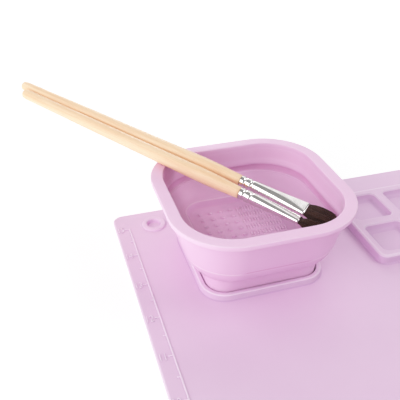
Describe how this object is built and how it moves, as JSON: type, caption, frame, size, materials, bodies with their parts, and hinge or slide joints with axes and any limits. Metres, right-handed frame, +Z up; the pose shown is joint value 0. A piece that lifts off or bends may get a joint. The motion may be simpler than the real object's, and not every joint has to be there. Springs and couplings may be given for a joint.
{
  "type": "craft painting mat",
  "caption": "Silicone painting mat with raised paint wells, an inch ruler, a socket ring and a fold-down square rinse cup that holds flat wooden brushes.",
  "frame": {"origin": "centre of the mat's flat underside", "axes": "+X along the mat's long side, away from the ruler; +Y to the back edge where the cup stands; +Z up"},
  "size_m": [0.5482, 0.4661, 0.0716],
  "materials": {
    "mat_silicone": "satin pale orchid pink silicone with a fine matt grain",
    "cup_silicone": "satin pale orchid pink silicone",
    "brush_wood": "clear-varnished pale birch",
    "ferrule_metal": "bright nickel-plated tube",
    "glue": "cured adhesive",
    "brush_hair": "dark brown synthetic hair"
  },
  "bodies": {
    "mat": {"mat": "mat_silicone"},
    "cup_base": {"cup_base": "cup_silicone", "cup_fold_web": "cup_silicone"},
    "cup_upper": {"cup_upper_wall": "cup_silicone"},
    "rear_brush": {"rear_brush_handle": "brush_wood", "rear_brush_ferrule": "ferrule_metal", "rear_brush_glue_plug": "glue", "rear_brush_hair": "brush_hair"},
    "front_brush": {"front_brush_handle": "brush_wood", "front_brush_ferrule": "ferrule_metal", "front_brush_glue_plug": "glue", "front_brush_hair": "brush_hair"}
  },
  "joints": [
    {"name": "cup_lift", "type": "slide", "parent": "mat", "child": "cup_base", "axis": [0, 0, 1], "range_m": [0, 0.08]},
    {"name": "cup_fold", "type": "slide", "parent": "cup_base", "child": "cup_upper", "axis": [0, 0, -1], "range_m": [0, 0.01], "deforming": ["cup_fold_web"]},
    {"name": "rear_brush_lift", "type": "slide", "parent": "cup_upper", "child": "rear_brush", "axis": [0, 0, 1], "range_m": [0, 0.08]},
    {"name": "front_brush_lift", "type": "slide", "parent": "cup_upper", "child": "front_brush", "axis": [0, 0, 1], "range_m": [0, 0.08]}
  ]
}
